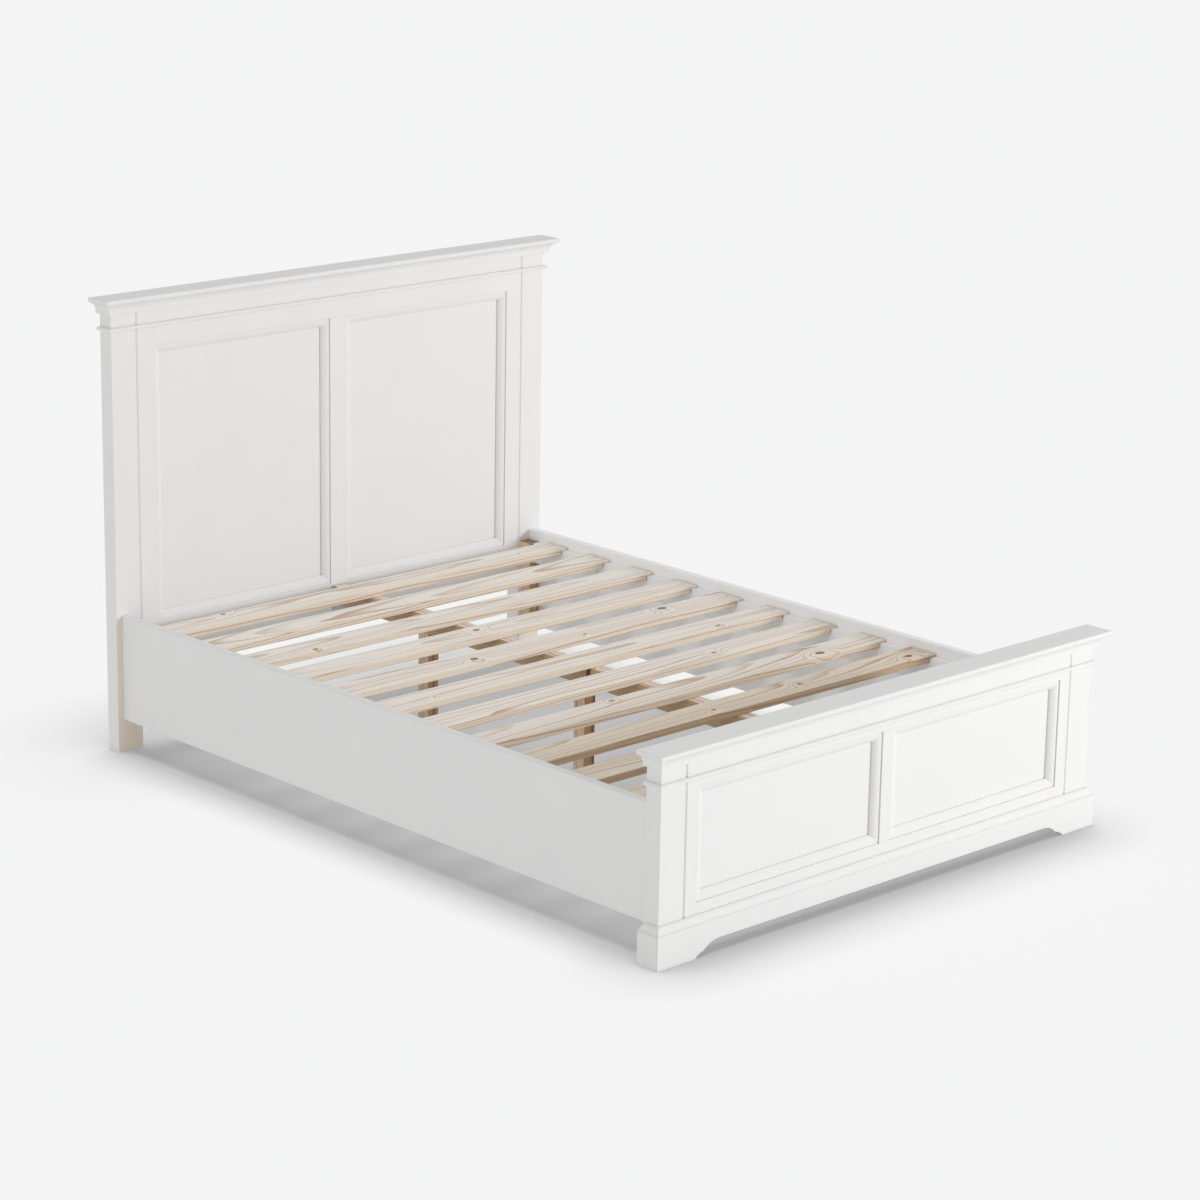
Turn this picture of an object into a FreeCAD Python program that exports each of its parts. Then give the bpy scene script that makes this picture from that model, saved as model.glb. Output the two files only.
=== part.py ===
import FreeCAD, Part
import math
import os
from types import SimpleNamespace

import Sketcher

# A painted double bed frame with pine slats: a tall panelled headboard, a low panelled
# footboard on a bracket-footed plinth, two side boards, eleven slats and a centre beam.
# X runs across the bed, Y from the foot to the head and Z up. The origin is on the floor,
# under the middle of the whole frame.

SIZES = {
    # The four corner posts and the two boards between them.
    "post_span": 1448.0,
    "post_width": 78.0,
    "post_depth": 45.0,
    "head_post_height": 1136.0,
    "foot_post_height": 452.0,
    "post_rounding": 2.0,
    "frame_thickness": 30.0,
    "groove_chamfer": 3.0,
    "head_stile_width": 54.0,
    "head_mullion_width": 54.0,
    "head_top_rail_height": 93.0,
    "head_bottom_rail_height": 100.0,
    "head_bottom_rail_base": 228.0,
    "foot_stile_width": 37.0,
    "foot_mullion_width": 36.0,
    "foot_top_rail_height": 61.5,
    "foot_bottom_rail_height": 62.0,
    "foot_bottom_rail_base": 60.0,
    # The flat panels, held in grooves.
    "panel_thickness": 9.0,
    "panel_recess": 16.0,
    "panel_groove_depth": 9.0,
    "panel_end_gap": 1.0,
    "panel_face_gap": 0.2,
    # The moulding round each panel.
    "moulding_width": 22.0,
    "moulding_outer_drop": 3.0,
    "moulding_lip_width": 2.5,
    "moulding_inner_height": 3.5,
    "moulding_radius": 26.0,
    # The cornice on each board.
    "crown_height": 40.0,
    "crown_projection": 33.0,
    "crown_foot_out": 11.5,
    "crown_foot_up": 5.0,
    "crown_cove_out": 30.0,
    "crown_cove_up": 28.0,
    "crown_cove_radius": 24.0,
    "crown_lip_height": 9.0,
    "crown_rounding": 2.0,
    # The half-round bead below the cornice.
    "bead_height": 10.0,
    "bead_projection": 10.0,
    "bead_drop": 35.0,
    # The plinth with its bracket feet.
    "plinth_height": 95.0,
    "plinth_thickness": 18.0,
    "plinth_moulding_height": 17.0,
    "plinth_step": 1.5,
    "plinth_waist_out": 11.0,
    "plinth_waist_up": 8.5,
    "plinth_top_width": 5.0,
    "plinth_cove_radius": 9.0,
    "plinth_nose_radius": 9.0,
    "plinth_corner_radius": 18.0,
    "foot_flat": 116.0,
    "foot_toe_run": 27.0,
    "foot_toe_rise": 14.0,
    "foot_toe_radius": 46.0,
    "foot_arch_run": 46.0,
    "foot_arch_rise": 19.0,
    "foot_arch_radius": 66.0,
    # The side boards and the strips that the slats lie on.
    "rail_length": 1924.0,
    "rail_height": 275.0,
    "rail_thickness": 22.0,
    "rail_bottom": 85.0,
    "rail_inset": 17.0,
    "rail_rounding": 2.0,
    "ledger_width": 23.0,
    "ledger_height": 55.0,
    # The slats.
    "slat_count": 11,
    "slat_width": 88.0,
    "slat_thickness": 18.0,
    "slat_drop": 23.0,
    "slat_side_gap": 4.0,
    "slat_shoulder_gap": 4.0,
    "slat_first_gap": 73.0,
    "slat_rounding": 2.0,
    "tongue_thickness": 6.0,
    # The beam down the middle, its three legs and its two steel hangers.
    "beam_width": 40.0,
    "beam_height": 48.0,
    "leg_width": 36.0,
    "leg_depth": 38.0,
    "leg_spacing": 595.0,
    "hanger_steel": 2.0,
    "hanger_reach": 30.0,
    "hanger_tab": 28.0,
    "hanger_gap": 0.3,
    # The corner blocks and the bolts through them.
    "block_width": 36.0,
    "block_depth": 44.0,
    "block_lift": 20.0,
    "bolt_inset": 45.0,
    "bolt_drop": 18.0,
    "bolt_radius": 4.0,
    "bolt_gap": 0.3,
    "bolt_head_radius": 8.5,
    "bolt_head_height": 3.0,
    "socket_radius": 2.9,
    "socket_depth": 2.0,
    "bolt_tip_gap": 3.0,
    "insert_radius": 6.0,
    "insert_length": 25.0,
    # How far a cut runs past the piece that it cuts.
    "overrun": 5.0,
}

doc = FreeCAD.newDocument("bed_frame")
sheet = doc.addObject("Spreadsheet::Sheet", "Sizes")
for row, (name, value) in enumerate(SIZES.items(), start=1):
    sheet.set(f"A{row}", name)
    sheet.set(f"B{row}", str(value))
    sheet.setAlias(f"B{row}", name)
doc.recompute()


class Size:
    """A length together with the sheet expression that it comes from."""

    def __init__(self, value, text):
        self.value = value
        self.text = text

    def __add__(self, other):
        other = as_size(other)
        return Size(self.value + other.value, f"({self.text} + {other.text})")

    def __sub__(self, other):
        other = as_size(other)
        return Size(self.value - other.value, f"({self.text} - {other.text})")

    def __mul__(self, count):
        return Size(self.value * count, f"({self.text} * {count})")

    def __truediv__(self, count):
        return Size(self.value / count, f"({self.text} / {count})")

    def __neg__(self):
        return self * -1


def as_size(item):
    """A plain zero becomes a size, and a size stays as it is."""
    return item if isinstance(item, Size) else Size(float(item), str(item))


named = {name: Size(value, f"Sizes.{name}") for name, value in SIZES.items()}
s = SimpleNamespace(**named)
LEFT, RIGHT = -1, 1

# Places along and across the bed that several pieces share.
half_span = s.post_span / 2
post_inner = half_span - s.post_width
foot_front = s.crown_projection / 2 - s.post_depth - s.rail_length / 2
foot_back = foot_front + s.post_depth
head_front = foot_back + s.rail_length
rail_outer = half_span - s.rail_inset
rail_inner = rail_outer - s.rail_thickness
rail_top = s.rail_bottom + s.rail_height
slat_top = rail_top - s.slat_drop
slat_bottom = slat_top - s.slat_thickness
ledger_top = slat_top - s.tongue_thickness
ledger_inner = rail_inner - s.ledger_width
slat_half = rail_inner - s.slat_side_gap
shoulder = ledger_inner - s.slat_shoulder_gap
block_inner = rail_inner - s.block_width
block_bottom = s.rail_bottom + s.block_lift
bolt_x = (block_inner + rail_inner) / 2
bolt_heights = (block_bottom + s.bolt_inset, ledger_top - s.ledger_height - s.bolt_drop)
bolt_bore = s.bolt_radius + s.bolt_gap
insert_bore = s.insert_radius + s.bolt_gap
panel_back = s.panel_recess + s.panel_thickness
beam_bottom = slat_bottom - s.beam_height

nodes = []


def place(piece, x, y, z, turn=None):
    """Turns a piece, then ties its place to the sheet."""
    if turn is not None:
        piece.Placement = FreeCAD.Placement(FreeCAD.Vector(), turn)
    for axis, value in zip("xyz", (x, y, z)):
        piece.setExpression(f"Placement.Base.{axis}", as_size(value).text)


def turned(x, y, z, angle):
    """A turn by an angle in degrees about an axis."""
    return FreeCAD.Rotation(FreeCAD.Vector(x, y, z), angle)


def keep(piece):
    """Lists a finished sub-part, whose label names its file."""
    nodes.append(piece)
    return piece


def new_body(label):
    body = doc.addObject("PartDesign::Body", label)
    body.Label = label
    return body


def arc_between(start, end, radius, side):
    """The short arc from start to end, turning left for side 1 and right for side -1."""
    chord = end - start
    middle = (start + end) * 0.5
    across = FreeCAD.Vector(-chord.y, chord.x, 0).normalize()
    reach = math.sqrt(max(radius * radius - chord.Length * chord.Length / 4, 0))
    centre = middle + across * (side * reach)
    crest = centre - across * (side * radius)
    return Part.ArcOfCircle(start, crest, end)


def outline(body, plane, points, arcs=None, lift=0):
    """A closed sketch through the points, each tied to the sheet by two distances.

    arcs holds, for the edge that starts at a point, its radius and the side it turns to.
    """
    arcs = arcs or {}
    sketch = body.newObject("Sketcher::SketchObject", f"{body.Label}_sketch")
    base = next(item for item in body.Origin.OriginFeatures if item.Role == plane)
    sketch.AttachmentSupport = (base, [""])
    sketch.MapMode = "FlatFace"
    sketch.setExpression("AttachmentOffset.Base.z", as_size(lift).text)
    corners = [FreeCAD.Vector(as_size(u).value, as_size(v).value, 0) for u, v in points]
    ends = []
    for index, start in enumerate(corners):
        end = corners[(index + 1) % len(corners)]
        if index in arcs:
            radius, side = arcs[index]
            sketch.addGeometry(arc_between(start, end, radius.value, side))
            ends.append((1, 2) if side > 0 else (2, 1))
        else:
            sketch.addGeometry(Part.LineSegment(start, end))
            ends.append((1, 2))
    for index, (u, v) in enumerate(points):
        after = (index + 1) % len(points)
        first, last = ends[index]
        join = Sketcher.Constraint("Coincident", index, last, after, ends[after][0])
        sketch.addConstraint(join)
        for kind, length in (("DistanceX", as_size(u)), ("DistanceY", as_size(v))):
            distance = Sketcher.Constraint(kind, -1, 1, index, first, length.value)
            tie = sketch.addConstraint(distance)
            sketch.setExpression(f"Constraints[{tie}]", length.text)
    for index, (radius, side) in arcs.items():
        bend = sketch.addConstraint(Sketcher.Constraint("Radius", index, radius.value))
        sketch.setExpression(f"Constraints[{bend}]", radius.text)
    return sketch


def pad(body, sketch, length, symmetric=False, reverse=False):
    feature = body.newObject("PartDesign::Pad", f"{body.Label}_pad")
    feature.Profile = sketch
    feature.SideType = "Symmetric" if symmetric else "One side"
    feature.Reversed = reverse
    feature.setExpression("Length", length.text)
    return feature


def cut_through(body, sketch):
    """Cuts a sketch through the whole body, both ways from its plane."""
    feature = body.newObject("PartDesign::Pocket", f"{body.Label}_cut")
    feature.Profile = sketch
    feature.Type = "ThroughAll"
    feature.SideType = "Symmetric"
    return feature


def rectangle(low_u, high_u, low_v, high_v):
    return [(low_u, low_v), (high_u, low_v), (high_u, high_v), (low_u, high_v)]


def rounded_rectangle(low_u, high_u, low_v, high_v, radius):
    """The points and arcs of a rectangle with four rounded corners."""
    points = [
        (low_u + radius, low_v),
        (high_u - radius, low_v),
        (high_u, low_v + radius),
        (high_u, high_v - radius),
        (high_u - radius, high_v),
        (low_u + radius, high_v),
        (low_u, high_v - radius),
        (low_u, low_v + radius),
    ]
    arcs = {edge: (radius, 1) for edge in (1, 3, 5, 7)}
    return points, arcs


def mirrored(side, points, arcs=None):
    """Points and arcs as given for the right side, or mirrored for the left."""
    flipped = [(as_size(u) * side, v) for u, v in points]
    turned_arcs = {edge: (radius, turn * side) for edge, (radius, turn) in (arcs or {}).items()}
    return flipped, turned_arcs


def block(label, x, y, z):
    """A plain rectangular piece between two places on each axis."""
    box = doc.addObject("Part::Box", label)
    box.Label = label
    for prop, (low, high) in zip(("Length", "Width", "Height"), (x, y, z)):
        box.setExpression(prop, (as_size(high) - low).text)
    place(box, x[0], y[0], z[0])
    return box


def group(label, pieces):
    """Several separate solids of one kind under one name."""
    together = doc.addObject("Part::Compound", label)
    together.Label = label
    together.Links = pieces
    return together


def circle_row(body, plane, centres, radius, lift=0):
    """A sketch of equal circles."""
    sketch = body.newObject("Sketcher::SketchObject", f"{body.Label}_holes")
    base = next(item for item in body.Origin.OriginFeatures if item.Role == plane)
    sketch.AttachmentSupport = (base, [""])
    sketch.MapMode = "FlatFace"
    sketch.setExpression("AttachmentOffset.Base.z", as_size(lift).text)
    for index, (u, v) in enumerate(centres):
        centre = FreeCAD.Vector(u.value, v.value, 0)
        sketch.addGeometry(Part.Circle(centre, FreeCAD.Vector(0, 0, 1), radius.value))
        for kind, length in (("DistanceX", u), ("DistanceY", v)):
            distance = Sketcher.Constraint(kind, -1, 1, index, 3, length.value)
            tie = sketch.addConstraint(distance)
            sketch.setExpression(f"Constraints[{tie}]", length.text)
        bend = sketch.addConstraint(Sketcher.Constraint("Radius", index, radius.value))
        sketch.setExpression(f"Constraints[{bend}]", radius.text)
    return sketch


def moulding(label, profile, arcs, length, reach, ends):
    """A mitred length of moulding along X, with its profile in the YZ plane.

    Each end is 1 where the mitre runs out past the length, -1 where it runs in and 0
    where it is square.
    """
    body = new_body(label)
    start, finish = ends
    before = reach if start > 0 else as_size(0)
    after = reach if finish > 0 else as_size(0)
    pad(body, outline(body, "YZ_Plane", profile, arcs, -before), length + before + after)
    far = reach + s.overrun
    for base, direction, kind in ((as_size(0), 1, start), (length, -1, finish)):
        if kind:
            waste = [
                (base + s.overrun * (direction * kind), -s.overrun),
                (base - far * (direction * kind), far),
                (base - (far if kind > 0 else s.overrun) * direction, -s.overrun if kind > 0 else far),
            ]
            cut_through(body, outline(body, "XY_Plane", waste))
    return body


def round_the_corner(name, profile, arcs, reach, front, height):
    """A moulding across a board's front and back along both ends of it, mitred at the corners."""
    front_piece = moulding(f"{name}_front", profile, arcs, s.post_span, reach, (1, 1))
    place(front_piece, half_span, front, height, turned(0, 0, 1, 180))
    right_piece = moulding(f"{name}_right", profile, arcs, s.post_depth, reach, (0, 1))
    place(right_piece, half_span, front + s.post_depth, height, turned(0, 0, 1, -90))
    left_piece = moulding(f"{name}_left", profile, arcs, s.post_depth, reach, (1, 0))
    place(left_piece, -half_span, front, height, turned(0, 0, 1, 90))
    return keep(group(name, [front_piece, left_piece, right_piece]))


def post(label, side, front, height, bolted_face):
    """A corner post with rounded outer edges, a chamfer at the joint and two insert holes."""
    r = s.post_rounding
    profile = [
        (post_inner, s.groove_chamfer),
        (post_inner + s.groove_chamfer, 0),
        (half_span - r, 0),
        (half_span, r),
        (half_span, s.post_depth - r),
        (half_span - r, s.post_depth),
        (post_inner, s.post_depth),
    ]
    body = new_body(label)
    points, arcs = mirrored(side, profile, {2: (r, 1), 4: (r, 1)})
    pad(body, outline(body, "XY_Plane", points, arcs), height)
    centres = [(bolt_x * side, z) for z in bolt_heights]
    holes = circle_row(body, "XZ_Plane", centres, insert_bore, -bolted_face)
    drill = body.newObject("PartDesign::Pocket", f"{label}_insert_holes")
    drill.Profile = holes
    drill.Reversed = bolted_face.value > 0
    drill.setExpression("Length", s.insert_length.text)
    place(body, 0, front, 0)
    return keep(body)


def stile(label, side, front, width, base, top):
    """An upright beside the post: chamfered at the joint, grooved for the panel."""
    inner = post_inner - width
    groove = inner + s.panel_groove_depth
    profile = [
        (inner, 0),
        (post_inner - s.groove_chamfer, 0),
        (post_inner, s.groove_chamfer),
        (post_inner, s.frame_thickness),
        (inner, s.frame_thickness),
        (inner, panel_back + s.panel_face_gap),
        (groove, panel_back + s.panel_face_gap),
        (groove, s.panel_recess - s.panel_face_gap),
        (inner, s.panel_recess - s.panel_face_gap),
    ]
    body = new_body(label)
    points, arcs = mirrored(side, profile)
    pad(body, outline(body, "XY_Plane", points, lift=base), top - base)
    place(body, 0, front, 0)
    return keep(body)


def cross_rail(label, front, half_length, base, top, groove_up):
    """A rail between the stiles, grooved along one edge, with a stub tenon at each end."""
    near, far = (top, base) if groove_up else (base, top)
    into = -s.panel_groove_depth if groove_up else s.panel_groove_depth
    profile = [
        (0, near),
        (0, far),
        (s.frame_thickness, far),
        (s.frame_thickness, near),
        (panel_back + s.panel_face_gap, near),
        (panel_back + s.panel_face_gap, near + into),
        (s.panel_recess - s.panel_face_gap, near + into),
        (s.panel_recess - s.panel_face_gap, near),
    ]
    body = new_body(label)
    pad(body, outline(body, "YZ_Plane", profile), half_length * 2, symmetric=True)
    tenon = s.panel_groove_depth - s.panel_end_gap
    tenon_profile = rectangle(s.panel_recess, panel_back, near + into, far)
    pad(body, outline(body, "YZ_Plane", tenon_profile), (half_length + tenon) * 2, symmetric=True)
    place(body, 0, front, 0)
    return keep(body)


def mullion(label, front, width, base, top):
    """The middle upright, grooved on both edges, with a stub tenon at each end."""
    half = width / 2
    web = half - s.panel_groove_depth
    low = s.panel_recess - s.panel_face_gap
    high = panel_back + s.panel_face_gap
    profile = [
        (-half, 0),
        (half, 0),
        (half, low),
        (web, low),
        (web, high),
        (half, high),
        (half, s.frame_thickness),
        (-half, s.frame_thickness),
        (-half, high),
        (-web, high),
        (-web, low),
        (-half, low),
    ]
    body = new_body(label)
    pad(body, outline(body, "XY_Plane", profile, lift=base), top - base)
    tenon = s.panel_groove_depth - s.panel_end_gap
    tenon_profile = rectangle(-web, web, s.panel_recess, panel_back)
    tenons = outline(body, "XY_Plane", tenon_profile, lift=base - tenon)
    pad(body, tenons, top - base + tenon * 2)
    place(body, 0, front, 0)
    return keep(body)


def panel(label, front, opening_x, opening_z):
    """A flat panel that runs into the grooves all round its opening."""
    into = s.panel_groove_depth - s.panel_end_gap
    x = (opening_x[0] - into, opening_x[1] + into)
    z = (opening_z[0] - into, opening_z[1] + into)
    return keep(block(label, x, (front + s.panel_recess, front + panel_back), z))


def panel_moulding(label, front, opening_x, opening_z):
    """Four mitred strips round one panel, each an ovolo between two small steps."""
    outer_height = s.panel_recess - s.moulding_outer_drop
    profile = [
        (0, 0),
        (s.moulding_width, 0),
        (s.moulding_width, s.moulding_inner_height),
        (s.moulding_lip_width, outer_height),
        (0, outer_height),
    ]
    arcs = {2: (s.moulding_radius, 1)}
    low_x, high_x = opening_x
    low_z, high_z = opening_z
    width = high_x - low_x
    height = high_z - low_z
    strips = []
    for name, length, x, z, angle in (
        ("bottom", width, low_x, low_z, 0),
        ("right", height, high_x, low_z, -90),
        ("top", width, high_x, high_z, 180),
        ("left", height, low_x, high_z, 90),
    ):
        strip = moulding(f"{label}_{name}", profile, arcs, length, s.moulding_width, (-1, -1))
        turn = turned(0, 1, 0, angle) * turned(1, 0, 0, 90)
        place(strip, x, front + s.panel_recess, z, turn)
        strips.append(strip)
    return keep(group(label, strips))


def board(name, front, post_height, bolted_face, stile_width, mullion_width, top_rail, low_base, low_height):
    """A headboard or footboard: posts, frame, panels, mouldings, cornice and bead."""
    rail_half = post_inner - stile_width
    low_top = low_base + low_height
    high_base = post_height - top_rail
    for side, word in ((LEFT, "left"), (RIGHT, "right")):
        post(f"{name}_post_{word}", side, front, post_height, bolted_face)
        stile(f"{name}_stile_{word}", side, front, stile_width, low_base, post_height)
        near, far = mullion_width / 2, rail_half
        opening_x = (near, far) if side == RIGHT else (-far, -near)
        opening_z = (low_top, high_base)
        panel(f"{name}_panel_{word}", front, opening_x, opening_z)
        panel_moulding(f"{name}_panel_moulding_{word}", front, opening_x, opening_z)
    cross_rail(f"{name}_top_rail", front, rail_half, high_base, post_height, False)
    cross_rail(f"{name}_bottom_rail", front, rail_half, low_base, low_top, True)
    mullion(f"{name}_mullion", front, mullion_width, low_top, high_base)
    cap_y = (front, front + s.post_depth)
    cap_z = (post_height, post_height + s.crown_height)
    keep(block(f"{name}_cap_board", (-half_span, half_span), cap_y, cap_z))
    lip_base = s.crown_height - s.crown_lip_height
    crown_profile = [
        (0, 0),
        (s.crown_foot_out, 0),
        (s.crown_foot_out, s.crown_foot_up),
        (s.crown_cove_out, s.crown_cove_up),
        (s.crown_cove_out, lip_base),
        (s.crown_projection, lip_base),
        (s.crown_projection, s.crown_height - s.crown_rounding),
        (s.crown_projection - s.crown_rounding, s.crown_height),
        (0, s.crown_height),
    ]
    crown_arcs = {2: (s.crown_cove_radius, -1), 6: (s.crown_rounding, 1)}
    round_the_corner(f"{name}_crown", crown_profile, crown_arcs, s.crown_projection, front, post_height)
    bead_radius = s.bead_height / 2
    bead_profile = [
        (0, 0),
        (s.bead_projection - bead_radius, 0),
        (s.bead_projection, bead_radius),
        (s.bead_projection - bead_radius, s.bead_height),
        (0, s.bead_height),
    ]
    bead_arcs = {1: (bead_radius, 1), 2: (bead_radius, 1)}
    bead_base = post_height - s.bead_drop - s.bead_height
    round_the_corner(f"{name}_bead", bead_profile, bead_arcs, s.bead_projection, front, bead_base)


# The cove and nose along the plinth's top edge, as the waste in front of them: out from the
# post's face and up from the floor.
moulding_base = s.plinth_height - s.plinth_moulding_height
plinth_waste = [
    (s.plinth_thickness + s.overrun, moulding_base),
    (s.plinth_thickness + s.overrun, s.plinth_height + s.overrun),
    (s.plinth_top_width, s.plinth_height + s.overrun),
    (s.plinth_top_width, s.plinth_height),
    (s.plinth_waist_out, moulding_base + s.plinth_waist_up),
    (s.plinth_thickness - s.plinth_step, moulding_base),
]
plinth_waste_arcs = {3: (s.plinth_nose_radius, -1), 4: (s.plinth_cove_radius, 1)}


def plinth_front():
    """The front board on two bracket feet, each with a cusp between two hollow curves."""
    half = half_span + s.plinth_thickness
    flat = half - s.foot_flat
    cusp = flat - s.foot_toe_run
    arch = cusp - s.foot_arch_run
    rise = s.foot_toe_rise + s.foot_arch_rise
    points = [
        (-half, 0),
        (-flat, 0),
        (-cusp, s.foot_toe_rise),
        (-arch, rise),
        (arch, rise),
        (cusp, s.foot_toe_rise),
        (flat, 0),
        (half, 0),
        (half, s.plinth_height),
        (-half, s.plinth_height),
    ]
    toe, bow = (s.foot_toe_radius, -1), (s.foot_arch_radius, -1)
    arcs = {1: toe, 2: bow, 4: bow, 5: toe}
    body = new_body("foot_plinth_front")
    pad(body, outline(body, "XZ_Plane", points, arcs), s.plinth_thickness)
    waste = [(-out, up) for out, up in plinth_waste]
    waste_arcs = {edge: (radius, -turn) for edge, (radius, turn) in plinth_waste_arcs.items()}
    cut_through(body, outline(body, "YZ_Plane", waste, waste_arcs))
    for side in (LEFT, RIGHT):
        corner = [
            (half_span - s.overrun, s.overrun),
            (half + s.overrun, -s.plinth_thickness - s.overrun),
            (half + s.overrun, s.overrun),
        ]
        cut_through(body, outline(body, "XY_Plane", mirrored(side, corner)[0]))
    place(body, 0, foot_front, 0)
    return keep(body)


def plinth_return(side, word):
    """A short board back along the post, mitred at the front, its rear top corner rounded."""
    outer = half_span + s.plinth_thickness
    body = new_body(f"foot_plinth_return_{word}")
    points = [
        (-s.plinth_thickness, 0),
        (s.post_depth, 0),
        (s.post_depth, s.plinth_height - s.plinth_corner_radius),
        (s.post_depth - s.plinth_corner_radius, s.plinth_height),
        (-s.plinth_thickness, s.plinth_height),
    ]
    near = half_span if side == RIGHT else -outer
    arcs = {2: (s.plinth_corner_radius, 1)}
    pad(body, outline(body, "YZ_Plane", points, arcs, near), s.plinth_thickness)
    waste = [(half_span + out, up) for out, up in plinth_waste]
    points, arcs = mirrored(side, waste, plinth_waste_arcs)
    cut_through(body, outline(body, "XZ_Plane", points, arcs))
    corner = [
        (half_span - s.overrun, s.overrun),
        (outer + s.overrun, -s.plinth_thickness - s.overrun),
        (half_span - s.overrun, -s.plinth_thickness - s.overrun),
    ]
    cut_through(body, outline(body, "XY_Plane", mirrored(side, corner)[0]))
    place(body, 0, foot_front, 0)
    return keep(body)


def side_rail(side, word):
    """A plain board from post to post, its long edges rounded."""
    body = new_body(f"side_rail_{word}")
    points, arcs = rounded_rectangle(rail_inner, rail_outer, s.rail_bottom, rail_top, s.rail_rounding)
    points, arcs = mirrored(side, points, arcs)
    sketch = outline(body, "XZ_Plane", points, arcs)
    pad(body, sketch, s.rail_length, reverse=True)
    place(body, 0, foot_back, 0)
    return keep(body)


def ledger(side, word):
    """The strip along the inside of a side board that carries the slats' tongues."""
    x = (ledger_inner, rail_inner) if side == RIGHT else (-rail_inner, -ledger_inner)
    y = (foot_back + s.block_depth, head_front - s.block_depth)
    return keep(block(f"ledger_{word}", x, y, (ledger_top - s.ledger_height, ledger_top)))


def slat(number):
    """A slat with rounded long edges, rebated from below at both ends to leave a tongue."""
    body = new_body(f"slat_{number:02d}")
    points, arcs = rounded_rectangle(as_size(0), s.slat_width, slat_bottom, slat_top, s.slat_rounding)
    pad(body, outline(body, "YZ_Plane", points, arcs), slat_half * 2, symmetric=True)
    for side in (LEFT, RIGHT):
        rebate = rectangle(shoulder, slat_half + s.overrun, slat_bottom - s.overrun, ledger_top)
        cut_through(body, outline(body, "XZ_Plane", mirrored(side, rebate)[0]))
    run = s.rail_length - s.slat_first_gap * 2 - s.slat_width
    steps = SIZES["slat_count"] - 1
    place(body, 0, foot_back + s.slat_first_gap + run * (number - 1) / steps, 0)
    return keep(body)


def corner_block(end, side, word):
    """An upright block in the corner of post and side board, bored for two bolts."""
    low_y = foot_back if end == "foot" else head_front - s.block_depth
    body = new_body(f"corner_block_{end}_{word}")
    points = mirrored(side, rectangle(block_inner, rail_inner, block_bottom, ledger_top))[0]
    pad(body, outline(body, "XZ_Plane", points), s.block_depth, reverse=True)
    centres = [(bolt_x * side, z) for z in bolt_heights]
    cut_through(body, circle_row(body, "XZ_Plane", centres, bolt_bore))
    place(body, 0, low_y, 0)
    return keep(body)


def turned_piece(label, profile):
    """A round piece about its own Z axis."""
    body = new_body(label)
    spin = body.newObject("PartDesign::Revolution", f"{label}_turning")
    sketch = outline(body, "XZ_Plane", profile)
    spin.Profile = sketch
    spin.ReferenceAxis = (sketch, ["V_Axis"])
    body.Tip = spin
    return body


def rail_bolt(label):
    """A bed bolt with a wide flat head, its face at Z = 0, and a hexagon socket."""
    shank = s.block_depth + s.insert_length - s.bolt_tip_gap
    profile = [
        (0, -s.bolt_head_height),
        (s.bolt_head_radius, -s.bolt_head_height),
        (s.bolt_head_radius, 0),
        (s.bolt_radius, 0),
        (s.bolt_radius, shank),
        (0, shank),
    ]
    body = turned_piece(label, profile)
    flats = [math.radians(angle) for angle in range(0, 360, 60)]
    hexagon = [(s.socket_radius * math.cos(a), s.socket_radius * math.sin(a)) for a in flats]
    socket = body.newObject("PartDesign::Pocket", f"{label}_socket")
    socket.Profile = outline(body, "XY_Plane", hexagon, lift=-s.bolt_head_height)
    socket.Reversed = True
    socket.setExpression("Length", s.socket_depth.text)
    return body


def bolts():
    """The bed bolts and the threaded inserts that they screw into."""
    insert_profile = rectangle(bolt_bore, s.insert_radius, as_size(0), s.insert_length)
    bolt_set, insert_set = [], []
    for end, side in [(end, side) for end in ("foot", "head") for side in (LEFT, RIGHT)]:
        # A bolt at the head points to the head, one at the foot to the foot.
        away = 1 if end == "head" else -1
        turn = turned(1, 0, 0, -90 * away)
        joint_face = head_front if end == "head" else foot_back
        block_face = joint_face - s.block_depth * away
        for z in bolt_heights:
            count = len(bolt_set) + 1
            bolt = rail_bolt(f"rail_bolt_{count}")
            place(bolt, bolt_x * side, block_face, z, turn)
            bolt_set.append(bolt)
            insert = turned_piece(f"post_insert_{count}", insert_profile)
            place(insert, bolt_x * side, joint_face, z, turn)
            insert_set.append(insert)
    keep(group("rail_bolts", bolt_set))
    keep(group("post_inserts", insert_set))


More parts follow.
